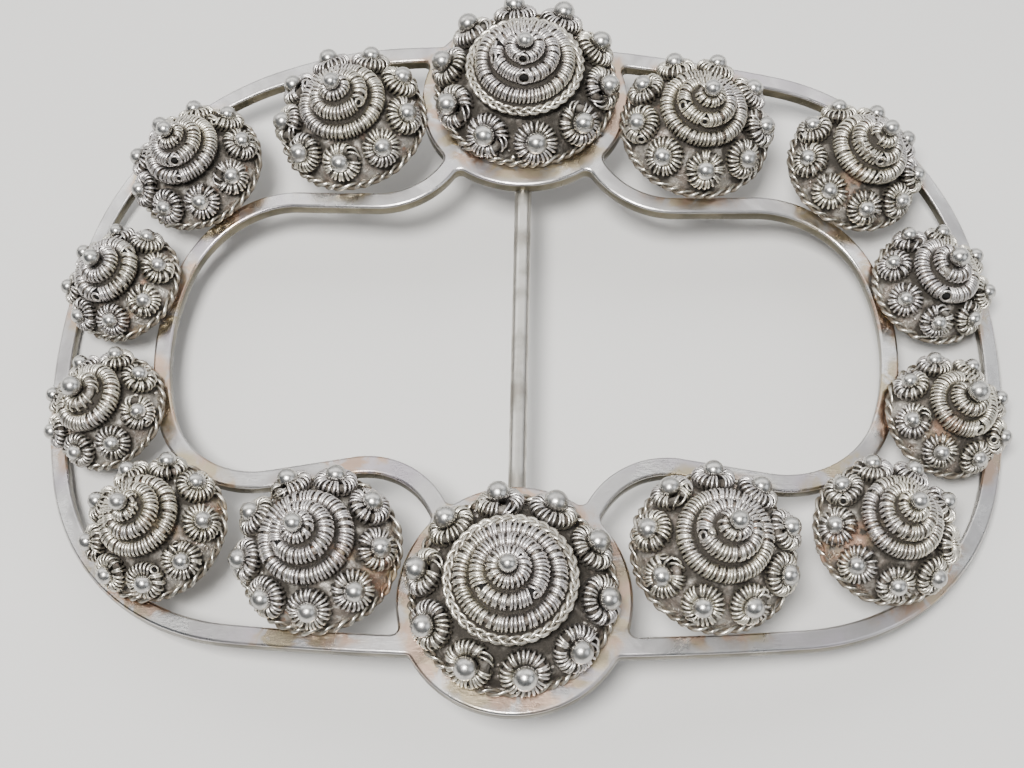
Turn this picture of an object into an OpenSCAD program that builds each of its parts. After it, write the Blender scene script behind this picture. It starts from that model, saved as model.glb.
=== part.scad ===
// Filigree costume buckle: an arched silver strip frame with a round bar and fourteen domed filigree buttons.
// Origin: under the middle of the buckle, on the surface that its two ends rest on. +X is right, +Y is the top in
// the photograph's view and +Z is up. The shapes are drawn from the crest of the frame's top face and then set there.
// Each button is one soldered unit, drawn with plain rings where the real one has coiled wire.

/* [Arch] */
// Radius of the frame's top face, which bends about the Y axis
arch_r = 118; // [95:1:200]
// Thickness of the strips and plates
frame_t = 1.3; // [1:0.1:1.6]
// Width of the strips
strip_w = 1.65; // [1.4:0.05:1.9]

/* [Outer strips] */
// Half length of the frame, to the outside of the side arcs
half_length = 44; // [43.5:0.1:45]
// Height over the middle at which the long top and bottom arcs would cross
half_width = 30.1; // [29.8:0.1:30.6]
// Radius of the long top and bottom arcs
long_arc_r = 180; // [160:5:220]
// Radius of the shoulder arcs
shoulder_r = 22; // [20:0.5:24]
// Radius of the side arcs
side_arc_r = 47.5; // [46:0.5:52]

/* [Inner strips] */
// Half length of the opening
opening_half = 32.1; // [31.8:0.1:32.6]
// Radius of the opening's end arcs
end_arc_r = 21.7; // [21:0.1:23]
// Radius of the opening's corner arcs
corner_r = 9; // [8.5:0.1:9.5]
// Distance of the corner arcs' centres from the middle
corner_x = 22.4; // [22:0.1:22.8]
// Distance of the waist arcs' centres from the middle, along X
waist_x = 13.2; // [13:0.1:13.4]
// Distance of the waist arcs' centres from the middle, along Y
waist_y = 20.4; // [20.2:0.1:20.6]
// Radius of the waist arcs, on the opening's side
waist_r = 8.15; // [8:0.05:8.3]

/* [Round plates] */
// Radius of the plates under the two big buttons
plate_r = 9.8; // [9.5:0.1:10.1]
// Distance of the top plate's centre from the middle
top_plate_y = 24.2; // [24:0.1:24.6]
// Distance of the bottom plate's centre from the middle
bottom_plate_y = 25.1; // [24.8:0.1:25.3]
// Radius of the solder in the corners where strips meet a plate
solder_r = 0.8; // [0.5:0.1:1]

/* [Bar] */
// Diameter of the bar
bar_d = 1.55; // [1.3:0.05:1.8]
// How far the bar reaches under each plate
bar_seat = 5; // [3:0.5:7]
// How deep the bar is let into the plates
bar_let_in = 0.4; // [0.2:0.05:0.6]

/* [Big buttons] */
// Distance of the two big buttons from the middle
big_y = 24.85; // [24.7:0.05:25]
// Outside radius of a big button's rope edge
big_r = 8.8; // [8.5:0.1:9]
// Height of a big button's top ball
big_top = 7.9; // [7.6:0.1:8.4]

/* [Large buttons] */
// Place of the large buttons, from the middle along X
large_x = 16.2; // [16.1:0.05:16.4]
// Place of the large buttons, from the middle along Y
large_y = 21; // [20.9:0.05:21.1]
// Outside radius of a large button's rope edge
large_r = 7.2; // [7.1:0.05:7.3]
// Height of a large button's top ball
large_top = 8; // [7.7:0.1:8.4]
// How far the pair beside the top button sits out of line, left up and right down
large_slip = 0.4; // [0:0.1:0.5]

/* [Medium buttons] */
// Place of the medium buttons, from the middle along X
medium_x = 30.8; // [30.6:0.1:31]
// Place of the medium buttons, from the middle along Y
medium_y = 18.2; // [18:0.1:18.4]
// Outside radius of a medium button's rope edge
medium_r = 6.5; // [6.4:0.05:6.6]
// Height of a medium button's top ball
medium_top = 7.9; // [7.6:0.1:8.3]

/* [Small buttons] */
// Place of the small buttons, from the middle along X
small_x = 37.2; // [37.1:0.05:37.4]
// Place of the small buttons, from the middle along Y
small_y = 6.5; // [6.4:0.05:6.6]
// Outside radius of a small button's rope edge
small_r = 5.7; // [5.6:0.05:5.75]
// Height of a small button's top ball
small_top = 6.5; // [6.3:0.1:6.8]

/* [Buttons] */
// Radius of the rope round a button's edge
rope_r = 0.4; // [0.3:0.05:0.45]
// Lean of the rosettes away from the button's axis
rosette_tilt = 42; // [38:1:46]
// Gap left for the solder between a seated piece and the frame
seat_gap = 0.05; // [0.03:0.01:0.1]

/* [Hidden] */
$fn = 64;

silver = [0.72, 0.71, 0.68];
bright_silver = [0.78, 0.77, 0.74];

// Centres of the arcs, all in the quarter where X and Y are positive
long_centre = [0, half_width - long_arc_r];
side_centre = [half_length - side_arc_r, 0];
shoulder_centre = crossing(long_centre, long_arc_r - shoulder_r, side_centre, side_arc_r - shoulder_r, -1);
end_centre = [opening_half - end_arc_r, 0];
corner_rise = sqrt(pow(end_arc_r - corner_r, 2) - pow(corner_x - end_centre.x, 2));
corner_centre = [corner_x, corner_rise];
waist_centre = [waist_x, waist_y];

// Direction of the seam between two arcs, seen from the second arc's centre
shoulder_from_long = bearing(long_centre, shoulder_centre);
shoulder_from_side = bearing(side_centre, shoulder_centre);
corner_from_end = bearing(end_centre, corner_centre);
// The straight stretch touches the waist arc from below and the corner arc from above
waist_span = norm(corner_centre - waist_centre);
straight_side = bearing(waist_centre, corner_centre) - acos((waist_r + corner_r) / waist_span);
straight_length = sqrt(pow(waist_span, 2) - pow(waist_r + corner_r, 2));

// Length of a lap between two stretches of strip, and the slimness of every second stretch
seam_lap = 0.25;
seam_step = 0.01;

// Reach of a strip's end into a plate, so that the two are one piece
long_arc_start = 90 - asin(0.75 * plate_r / long_arc_r);
waist_start = -162;

// Level of the bar, under the plates
bar_z = -frame_t - bar_d / 2 + bar_let_in;

// Way from the origin to the crest: up by the rise of the arch, and along Y to the middle between the plates
rise = arch_r - sqrt(pow(arch_r - frame_t, 2) - pow(half_length, 2));
crest = [0, (bottom_plate_y - top_plate_y) / 2, rise];

// Bearing in degrees from point a to point b
function bearing(a, b) = atan2(b.y - a.y, b.x - a.x);

// Point at an angle and a distance from a centre
function polar(centre, r, angle) = centre + r * [cos(angle), sin(angle)];

// Where two circles cross; side 1 is to the left of the way from the first centre to the second
function crossing(c0, r0, c1, r1, side) =
  let (
    span = norm(c1 - c0),
    along = (c1 - c0) / span,
    across = side * [-along.y, along.x],
    reach = (span * span + r0 * r0 - r1 * r1) / (2 * span)
  )
  c0 + reach * along + sqrt(r0 * r0 - reach * reach) * across;

// Flat strip that follows an arc, between two radii and two bearings, and laps into its neighbours.
// Every second stretch is slim, so that no two edges lie on each other in a lap.
module arc_strip(centre, inner, outer, from, to, slim = 0) {
  lap = asin(seam_lap / outer);
  far = outer / cos((to - from) / 4) + 1;
  translate(centre)
    intersection() {
      difference() {
        circle(outer - slim, $fn = 720);
        circle(inner + slim, $fn = 720);
      }
      polygon([[0, 0], polar([0, 0], far, from - lap), polar([0, 0], far, (from + to) / 2),
               polar([0, 0], far, to + lap)]);
    }
}

// Solder in the corner between a plate and a strip's edge. The edge is an arc; bend is 1 where the corner lies
// outside it and -1 where the corner lies inside it.
module solder_corner(plate, edge_centre, edge_r, bend, side) {
  middle = crossing(plate, plate_r + solder_r, edge_centre, edge_r + bend * solder_r, side);
  bite = strip_w / 4;
  tip = crossing(plate, plate_r - 2 * bite, edge_centre, edge_r - bend * 2 * bite, side);
  anticlockwise = side * bend > 0 ? [0, 1, 2, 3] : [3, 2, 1, 0];
  difference() {
    polygon([polar(plate, plate_r - bite, bearing(plate, middle)), tip,
             polar(edge_centre, edge_r - bend * bite, bearing(edge_centre, middle)), middle], [anticlockwise]);
    translate(middle) circle(solder_r + 2 * seam_step);
  }
}

// One quarter of the outer strip, from the plate to the side arc
module outer_quarter() {
  arc_strip(long_centre, long_arc_r - strip_w, long_arc_r, shoulder_from_long, long_arc_start);
  arc_strip(shoulder_centre, shoulder_r - strip_w, shoulder_r, shoulder_from_side, shoulder_from_long, seam_step);
}

// One quarter of the inner strip, from the plate to the end arc
module inner_quarter() {
  arc_strip(waist_centre, waist_r - strip_w, waist_r, waist_start, straight_side);
  arc_strip(corner_centre, corner_r, corner_r + strip_w, corner_from_end, straight_side + 180);
  translate(waist_centre)
    rotate([0, 0, straight_side])
      translate([waist_r - strip_w + seam_step, -seam_lap])
        square([strip_w - 2 * seam_step, straight_length + 2 * seam_lap]);
}

// The strips and solder on one side of one plate, whose centre is at plate_y
module quarter(plate_y) {
  plate = [0, plate_y];
  outer_quarter();
  inner_quarter();
  solder_corner(plate, long_centre, long_arc_r, 1, 1);
  solder_corner(plate, long_centre, long_arc_r - strip_w, -1, 1);
  solder_corner(plate, waist_centre, waist_r, 1, -1);
  solder_corner(plate, waist_centre, waist_r - strip_w, -1, -1);
}

// The frame's outline seen from above
module frame_outline() {
  translate([0, top_plate_y]) circle(plate_r);
  translate([0, -bottom_plate_y]) circle(plate_r);
  for (side = [0, 1])
    mirror([side, 0]) {
      quarter(top_plate_y);
      mirror([0, 1]) quarter(bottom_plate_y);
      arc_strip(side_centre, side_arc_r - strip_w, side_arc_r, -shoulder_from_side, shoulder_from_side);
      arc_strip(end_centre, end_arc_r, end_arc_r + strip_w, -corner_from_end, corner_from_end, seam_step);
    }
}

// Solid cylinder along Y under the arch; drop is how far it lies below the frame's top face
module under_arch(drop) {
  translate([0, 0, -arch_r])
    rotate([90, 0, 0])
      cylinder(r = arch_r - drop, h = 100, center = true, $fn = 360);
}

// Puts a button's foot on the arch, upright on the metal there
module on_arch(x, y) {
  translate(crest + [0, y, -arch_r])
    rotate([0, asin(x / arch_r), 0])
      translate([0, 0, arch_r])
        children();
}

module bar_rod(extra) {
  length = top_plate_y + bottom_plate_y - 2 * plate_r + 2 * bar_seat;
  middle = (top_plate_y - bottom_plate_y) / 2;
  translate([0, middle, bar_z])
    rotate([90, 0, 0])
      cylinder(d = bar_d + 2 * extra, h = length + 2 * extra, center = true);
}

module frame() {
  color(silver) translate(crest)
    difference() {
      intersection() {
        translate([0, 0, -20]) linear_extrude(21) frame_outline();
        under_arch(0);
      }
      under_arch(frame_t);
      bar_rod(seat_gap);
    }
}

module bar() {
  color(bright_silver) translate(crest) bar_rod(0);
}

// Half section of a wire ring, at a radius and a height
module ring_section(r, wire, z) {
  translate([r, z]) circle(wire, $fn = 32);
}

// A rosette: a small coiled ring with a ball on it, standing on its own axis with the ring's foot at z = 0
module rosette(coil, ball_d, ball_rise, with_ball) {
  hole = coil[0] - coil[1];
  foot = 0.6;
  rotate_extrude($fn = 48)
    intersection() {
      union() {
        ring_section(coil[0], coil[1], coil[1]);
        translate([0, -foot]) square([hole + 0.06, foot + coil[1] + (with_ball ? ball_rise : 0)]);
        if (with_ball) translate([0, coil[1] + ball_rise]) circle(d = ball_d);
      }
      translate([0, -5]) square([5, 20]);
    }
}

// One filigree button, standing on z = 0. Its tower is a stepped drum with a ring on each step.
// coils are the tower's rings as [radius, wire radius, height]; rosette_coil is [radius, wire radius].
module button(edge_r, count, turn, ball_ring_r, ball_z, ball_d, ball_rise, rosette_coil, coils, top_z, top_d,
              missing_ball = -1) {
  plate_edge = edge_r - rope_r;
  lean = [sin(rosette_tilt), cos(rosette_tilt)];
  seat = [ball_ring_r, ball_z] - (ball_rise + rosette_coil[1]) * lean;
  shoulder = (plate_edge - seat.x) / (1 - lean.x);
  crown = seat - shoulder * lean;
  last = coils[len(coils) - 1];
  difference() {
    union() {
      rotate_extrude($fn = 72)
        intersection() {
          union() {
            translate([0, -rope_r]) square([plate_edge, 2 * rope_r]);
            translate(crown) circle(shoulder);
            square([crown.x, crown.y + shoulder]);
            polygon(concat([[0, 0], [coils[0][0], 0]], [for (c = coils) [c[0], c[2]]], [[0, last[2]]]));
            ring_section(plate_edge, rope_r, rope_r + seat_gap);
            for (c = coils) ring_section(c[0], c[1], c[2]);
            translate([0, top_z]) circle(d = top_d);
            translate([0, last[2]]) square([last[0] - last[1] + 0.06, top_z - last[2]]);
          }
          translate([0, -rope_r]) square([edge_r + 1, top_z + top_d]);
        }
      for (i = [0:count - 1])
        rotate([0, 0, turn + i * 360 / count])
          translate([seat.x, 0, seat.y])
            rotate([0, rosette_tilt, 0])
              rosette(rosette_coil, ball_d, ball_rise, i != missing_ball);
    }
    under_arch(-seat_gap);
  }
}

module big_button(turn) {
  button(edge_r = big_r, count = 10, turn = turn, ball_ring_r = big_r - 0.9, ball_z = 2.95, ball_d = 2.05,
         ball_rise = 1, rosette_coil = [1.36, 0.75],
         coils = [[5.1, 0.48, big_top - 3.75], [3.9, 0.77, big_top - 3.1], [2.48, 0.78, big_top - 1.9],
                  [1.2, 0.66, big_top - 0.85]],
         top_z = big_top, top_d = 1.5);
}

module large_button(turn) {
  button(edge_r = large_r, count = 9, turn = turn, ball_ring_r = large_r - 1.1, ball_z = 3.5, ball_d = 1.8,
         ball_rise = 0.72, rosette_coil = [1.18, 0.69],
         coils = [[3.32, 0.78, large_top - 3.5], [2, 0.77, large_top - 2.2], [0.92, 0.55, large_top - 0.95]],
         top_z = large_top, top_d = 1.55);
}

module medium_button(turn, missing_ball = -1) {
  button(edge_r = medium_r, count = 9, turn = turn, ball_ring_r = medium_r - 0.95, ball_z = 3.1, ball_d = 1.6,
         ball_rise = 0.66, rosette_coil = [1.1, 0.64],
         coils = [[2.93, 0.76, medium_top - 3.45], [1.83, 0.76, medium_top - 2.2], [0.88, 0.54, medium_top - 1]],
         top_z = medium_top, top_d = 1.5, missing_ball = missing_ball);
}

module small_button(turn) {
  button(edge_r = small_r, count = 8, turn = turn, ball_ring_r = small_r - 0.87, ball_z = 3, ball_d = 1.46,
         ball_rise = 0.62, rosette_coil = [1.03, 0.59],
         coils = [[2.48, 0.8, small_top - 2.35], [1.22, 0.73, small_top - 1.2]],
         top_z = small_top, top_d = 1.6);
}

module button_top() {
  color(silver) on_arch(0, big_y) big_button(26);
}

module button_bottom() {
  color(silver) on_arch(0, -big_y) big_button(27);
}

module button_left_1() {
  color(silver) on_arch(-large_x, large_y + large_slip) large_button(29);
}

module button_left_2() {
  color(silver) on_arch(-medium_x, medium_y) medium_button(10);
}

module button_left_3() {
  color(silver) on_arch(-small_x, small_y) small_button(4);
}

module button_left_4() {
  color(silver) on_arch(-small_x, -small_y) small_button(28);
}

module button_left_5() {
  color(silver) on_arch(-medium_x, -medium_y) medium_button(35);
}

module button_left_6() {
  color(silver) on_arch(-large_x, -large_y) large_button(33);
}

module button_right_1() {
  color(silver) on_arch(large_x, large_y - large_slip) large_button(33);
}

module button_right_2() {
  color(silver) on_arch(medium_x, medium_y) medium_button(30);
}

module button_right_3() {
  color(silver) on_arch(small_x, small_y) small_button(37);
}

module button_right_4() {
  color(silver) on_arch(small_x, -small_y) small_button(20);
}

// This one has lost the ball of one rosette
module button_right_5() {
  color(silver) on_arch(medium_x, -medium_y) medium_button(27, missing_ball = 8);
}

module button_right_6() {
  color(silver) on_arch(large_x, -large_y) large_button(14);
}

frame();
bar();
button_top();
button_bottom();
button_left_1();
button_left_2();
button_left_3();
button_left_4();
button_left_5();
button_left_6();
button_right_1();
button_right_2();
button_right_3();
button_right_4();
button_right_5();
button_right_6();
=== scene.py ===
"""Filigree costume buckle in aged silver: an arched frame of strips, a round bar and fourteen coiled buttons.

Shapes are worked out in millimetres and become metres when a mesh is made.
"""
import math

import bpy
import mathutils
import numpy as np
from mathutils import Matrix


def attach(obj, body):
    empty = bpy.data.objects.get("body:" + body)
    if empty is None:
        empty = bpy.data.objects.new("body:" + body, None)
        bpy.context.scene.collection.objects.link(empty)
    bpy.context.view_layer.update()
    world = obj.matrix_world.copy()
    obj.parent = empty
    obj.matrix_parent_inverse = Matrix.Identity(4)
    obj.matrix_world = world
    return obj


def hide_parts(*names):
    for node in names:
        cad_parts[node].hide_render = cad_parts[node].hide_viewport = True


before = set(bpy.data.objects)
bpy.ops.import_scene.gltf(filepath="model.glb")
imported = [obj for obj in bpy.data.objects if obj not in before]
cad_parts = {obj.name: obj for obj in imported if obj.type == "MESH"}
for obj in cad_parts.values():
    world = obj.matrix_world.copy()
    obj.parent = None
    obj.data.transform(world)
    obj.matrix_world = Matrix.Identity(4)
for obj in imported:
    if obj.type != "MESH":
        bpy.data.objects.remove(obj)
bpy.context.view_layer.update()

MM = 0.001

# The arch and the frame's plan, named and sized as in the part
ARCH_R = 118.0
FRAME_T = 1.3
STRIP_W = 1.65
HALF_LENGTH = 43.99
HALF_WIDTH = 30.1
LONG_ARC_R = 180.0
SHOULDER_R = 22.0
SIDE_ARC_R = 47.5
OPENING_HALF = 32.1
END_ARC_R = 21.7
CORNER_R = 9.0
CORNER_X = 22.4
WAIST = (13.2, 20.4)
WAIST_R = 8.15
PLATE_R = 9.78
TOP_PLATE_Y = 24.2
BOTTOM_PLATE_Y = 25.1
RISE = ARCH_R - math.sqrt((ARCH_R - FRAME_T) ** 2 - HALF_LENGTH ** 2)
CREST = np.array([0.0, (BOTTOM_PLATE_Y - TOP_PLATE_Y) / 2, RISE])

# Solder in the corners where a strip meets a plate
VALLEY_SOLDER_R = 0.7
OUTER_SOLDER_R = 0.5
WINDOW_WAIST_SOLDER_R = 0.9
WINDOW_LONG_SOLDER_R = 0.6

# Rounding of the strips' worn top edges and of their lower ones
TOP_ROUND = 0.24
BOTTOM_ROUND = 0.1

# Spacing of points in the plates' faces, and the distance within which points are one
FACE_STEP = 0.7
SAME_POINT = 1e-5

# The gap under each button, the lean of its rosettes, and the rope round its foot
SEAT_GAP = 0.05
ROSETTE_TILT = math.radians(42)
ROPE_R = 0.4

# Half a twist of the rope and one bulge of the plait, and a strand's radius as a share of half their width
ROPE_LOBE = 1.1
PLAIT_LOBE = 1.0
ROPE_STRAND = 0.44
PLAIT_STRAND = 0.36

# The rope's waves round the ring, their reach in millimetres and in radians of twist, and the room for them
ROPE_WAVES = (3, 7, 16)
ROPE_WANDER = 0.03
TWIST_WANDER = 0.35
ROPE_INSET = 0.06

# The plait's slope outwards, and its strands' rise over each other, in radii of a strand
PLAIT_LEAN = 0.5
PLAIT_RISE = 0.6

# How far wound turns slip, in turns, and by what share their reach varies
TURN_SLIP = 0.2
TURN_REACH = 0.035

# Eyes between turns: how far above the coil's outside they are widest, how far round it they reach, how far
# they push turns, in widths of the eye, and how fast that dies away
EYE_RISE = math.radians(25)
EYE_REACH = math.radians(68)
EYE_PUSH = 0.55
EYE_FADE = 0.8

# The turn seen in an eye: how far out it stands and its largest size, in radii of the coil, and its size and
# half the length of the dark behind it, in widths of the eye
EYE_OUT = 0.6
EYE_TALL = 0.88
EYE_WIDE = 0.6
EYE_HALF = 0.7

# The last turns of a sprung rosette: their tip, number, shift in radii of the coil, and gap. CLOSED_GAP is
# that of other rosettes, in degrees
SPRUNG_TIP = math.radians(62)
SPRUNG_TURNS = 2.2
SPRUNG_SHIFT = 0.7
SPRUNG_GAP = math.radians(26)
CLOSED_GAP = (2, 9)

# How rosettes vary: the bearing of their ends, their lean, the share with an eye, its width, and the size,
# flatness, slip and lift of their balls
ENDS_SPREAD = 0.9
LEAN_SPREAD = 0.025
EYE_SHARE = 0.25
ROSETTE_EYE = 0.5
BALL_SIZES = (0.97, 1.02)
BALL_SQUASH = (0.93, 1.0)
BALL_SLIP = 0.03
BALL_LIFT = 0.02

# Depth of the dark ring that paints the shade inside a coil, of the same painted shade in an eye and of
# solder on a ring, in radii of its wire
INSIDE_DEPTH = 3
EYE_DEPTH = 2.8
MELT_DEPTH = 0.4

# Recess drives the tarnish and the painted shade: 0 is worn bright, 1 black with dirt and painted shade and 2
# a dark opening, black painted shade where a coil's hollow shows. The dome's underside gets a little painted
# shade.
# BALL_WAIST is the painted shade at a ball's half way up, and BALL_FADE its loss from there to the top
TOWER_INSIDE = 0.5
ROSETTE_INSIDE = 0.74
EYE_INSIDE = 2.0
MELT_RECESS = 0.2
UNDERSIDE_RECESS = 0.4
BALL_WAIST = 0.3
BALL_FADE = 0.8

# How far up wound turns the painted shade on their lower side reaches, 0 being half way, and how fast it
# fades
TOWER_PAINTED_SHADE = 0.0
ROSETTE_PAINTED_SHADE = -0.1
PAINTED_SHADE_FADE = 0.9

# Dirt and painted shade on the dome: at a rosette's middle before a cap of 1, its loss one rosette's reach
# away, the most by the tower's foot, and its loss per millimetre from there
ROSETTE_DIRT_AND_SHADE = 1.6
ROSETTE_FADE = 1.05
TOWER_DIRT_AND_SHADE = 0.9
TOWER_FADE = 0.6

# Dents in the dome's sheet, and the height that they begin at
DENT = 0.05
DENTS_FROM = 0.2

# Grains of solder on each button: number, size, flatness, spread about the middle between rosettes, how far
# inside the seat they begin and inside the plate's edge they end, and rise in radii
GRAINS = 30
GRAIN_SIZES = (0.1, 0.25)
GRAIN_SQUASH = (0.5, 0.9)
GRAIN_SPREAD = 0.16
GRAIN_INSETS = (0.6, 0.1)
GRAIN_RISE = 0.3

# Loose turns of wire: size, half of what is left of them in degrees, steepness, and how far from the top they
# are open
LOOP_SIZES = (0.5, 0.75)
LOOP_HALVES = (135, 170)
LOOP_RISES = (1.2, 2.0)
LOOP_OPENING = 0.8

# How far inside and below each ring's middle the tower's drum steps, in radii of the coil; the drum is dark
# all over as painted shade inside the tower
DRUM_INSET = 0.3
DRUM_DROP = 0.2

# How flat the top balls and the drops of solder are
TOP_BALL_SQUASH = (0.94, 1.0)
DROP_SQUASH = 0.8

# How far a squeezed side sinks, as a share, and how far up a lean grows on, the top ball being at 1
CRUSH_DROP = 0.8
LEAN_LIMIT = 1.3

# How far a stain of solder reaches past a button's edge, and the width over which stains fade out
FOOT_STAIN = 0.8
STAIN_EDGE = 1.6

# The material slots of a button
DOME, WIRE, BALL, ROPE = 0, 1, 2, 3

# The kinds of button. tower rows are (radius, wound radius, height, turns) from the bottom up, coil is the
# rosettes' (radius, wound radius, turns), and plaits are (radius, half width, height) of rings round the
# tower's foot. wires are the radii of the tower's and the rosettes' wire, sprung is the share of rosettes
# whose last turns have tipped over, and dirt is the least dirt and painted shade on the dome between them
KINDS = {
    "big": dict(
        edge_r=8.8, count=10, ball_ring_r=7.9, ball_z=2.95, ball_r=1.02, ball_rise=1.0,
        coil=(1.36, 0.75, 26),
        tower=[(3.9, 0.77, 4.8, 80), (2.48, 0.78, 6.0, 50), (1.2, 0.66, 7.05, 27)],
        plaits=[(5.1, 0.48, 4.15)], top_z=7.9, top_r=0.75, wires=(0.125, 0.115), sprung=0.5, dirt_and_shade=0.8),
    "large": dict(
        edge_r=7.2, count=9, ball_ring_r=6.1, ball_z=3.5, ball_r=0.9, ball_rise=0.72,
        coil=(1.18, 0.69, 24),
        tower=[(3.32, 0.78, 4.5, 70), (2.0, 0.77, 5.8, 42), (0.92, 0.55, 7.05, 22)],
        plaits=[], top_z=8.0, top_r=0.79, wires=(0.122, 0.11), sprung=0.15, dirt_and_shade=0.3),
    "medium": dict(
        edge_r=6.5, count=9, ball_ring_r=5.55, ball_z=3.1, ball_r=0.8, ball_rise=0.66,
        coil=(1.1, 0.64, 22),
        tower=[(2.93, 0.76, 4.45, 62), (1.83, 0.76, 5.7, 38), (0.88, 0.54, 6.9, 21)],
        plaits=[], top_z=7.9, top_r=0.76, wires=(0.12, 0.108), sprung=0.2, dirt_and_shade=0.2),
    "small": dict(
        edge_r=5.7, count=8, ball_ring_r=4.83, ball_z=3.0, ball_r=0.73, ball_rise=0.62,
        coil=(1.03, 0.59, 21),
        tower=[(2.48, 0.8, 4.15, 52), (1.22, 0.73, 5.3, 27)],
        plaits=[], top_z=6.5, top_r=0.8, wires=(0.12, 0.105), sprung=0.2, dirt_and_shade=0.2),
}

# The fourteen buttons: place, turn of the first rosette in degrees, and what is particular to each. lean is
# how far the top ball is pushed over. eyes lists (tower ring, angle, width in degrees) where turns are pushed
# apart, gaps the same where a ring is broken and melts where solder ran over it. stains lists copper-coloured
# spots (x, y, reach), drops lists solder (x, y, height, radius) and loops loose wire (x, y, height, bearing).
# crush is (angle, share) of a squeezed top, and loose_turns counts the turns of a ring that is pulled open
BUTTONS = {
    "button_top": dict(
        kind="big", at=(0.1, 24.8), turn=26.4, lean=(0.15, 0.0), drops=[(-1.0, -7.7, 0.6, 0.33)],
        eyes=[(1, 168, 19), (1, 193, 19), (1, 269, 22), (2, 264, 40)]),
    "button_bottom": dict(
        kind="big", at=(-0.1, -24.85), turn=27.2, lean=(-0.1, 0.0),
        eyes=[(1, 318, 13), (2, 40, 22), (1, 215, 10)]),
    "button_left_1": dict(
        kind="large", at=(-16.1, 21.4), turn=29.0, lean=(-0.1, -0.2), eyes=[(1, 329, 18)]),
    "button_left_2": dict(
        kind="medium", at=(-30.9, 18.2), turn=9.8, lean=(0.0, 0.1),
        eyes=[(0, 274, 12), (1, 278, 24)]),
    "button_left_3": dict(
        kind="small", at=(-37.0, 6.55), turn=4.0, lean=(-0.1, 0.1), stains=[(1.8, -4.2, 0.9)],
        eyes=[(0, 261, 17), (1, 77, 28), (0, 30, 16)]),
    "button_left_4": dict(
        kind="small", at=(-37.0, -6.35), turn=27.6, lean=(-0.2, 0.1), gaps=[(1, 345, 16)],
        loose_turns={1: 17}, top_r=0.92, crush=(150, 0.12)),
    "button_left_5": dict(
        kind="medium", at=(-30.8, -18.3), turn=35.0, lean=(0.1, 0.0), gaps=[(2, 20, 44)],
        stains=[(5.6, 1.3, 1.0), (2.5, -1.4, 0.8)],
        loops=[(0.9, 0.6, 7.3, 20), (1.1, -0.4, 7.0, 340)]),
    "button_left_6": dict(
        kind="large", at=(-16.3, -21.2), turn=32.4, lean=(-0.1, 0.0), eyes=[(1, 211, 18)],
        stains=[(3.3, -1.6, 0.8), (5.9, -2.7, 1.8)], melts=[(0, 203, 14), (0, 251, 9)]),
    "button_right_1": dict(
        kind="large", at=(15.9, 20.55), turn=32.9, lean=(0.15, -0.25), gaps=[(2, 170, 36)],
        eyes=[(1, 200, 20), (1, 262, 18)]),
    "button_right_2": dict(
        kind="medium", at=(30.65, 18.1), turn=30.2, lean=(0.75, 0.25), gaps=[(2, 215, 36)],
        eyes=[(0, 275, 12), (1, 268, 20)], crush=(210, 0.16), stains=[(-1.5, -3.4, 1.3)],
        loops=[(-0.9, -1.9, 6.6, 245), (-0.1, -2.1, 6.3, 262), (-1.5, -1.3, 6.7, 225)]),
    "button_right_3": dict(
        kind="small", at=(37.15, 6.6), turn=37.0, lean=(-0.1, 0.2), gaps=[(1, 230, 26)],
        eyes=[(0, 260, 20)], top_r=0.9, crush=(230, 0.15), loops=[(-1.1, -1.2, 5.3, 235)]),
    "button_right_4": dict(
        kind="small", at=(37.4, -6.5), turn=20.6, lean=(0.1, 0.2), stains=[(-1.6, -2.6, 1.2)],
        gaps=[(1, 117, 22)], eyes=[(0, 89, 16), (0, 294, 16)], top_r=0.95, crush=(120, 0.15)),
    "button_right_5": dict(
        kind="medium", at=(31.0, -18.0), turn=27.1, lean=(-0.15, 0.3), lost_ball=8,
        stains=[(-3.6, -1.5, 1.3), (-5.2, -2.4, 1.3)], melts=[(0, 215, 12)]),
    "button_right_6": dict(
        kind="large", at=(16.4, -20.8), turn=14.0, lean=(0.5, 0.15), drops=[(-1.4, -0.5, 6.5, 0.4)],
        gaps=[(2, 164, 22)], eyes=[(1, 198, 18)]),
}

# Where the strips are pushed out of line: place, push and reach, along X and Y
BENDS = [
    ((-17.5, 29.5), (0.0, 0.95), (9.5, 5.0)),
    ((-18.0, 13.0), (0.0, 0.3), (9.0, 3.5)),
    ((17.0, 29.0), (0.0, -0.45), (11.0, 5.0)),
    ((20.0, 12.8), (0.0, -0.45), (10.0, 4.5)),
    ((32.5, 0.0), (0.35, 0.0), (4.5, 16.0)),
]

# Copper-coloured residue of soldering, besides that at the buttons' feet: x, y and reach, from the crest
SOLDER_STAINS = [(-19.0, -28.95, 2.6), (-13.3, -13.25, 2.2), (-10.5, 27.05, 2.2)]

# Colours of the silver and of what lies on it. The black and the dark wire, ball, rope and side colours also
# paint shade in hollows, undersides and walls
SOOT_AND_SHADE = (0.034, 0.029, 0.023, 1)
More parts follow.
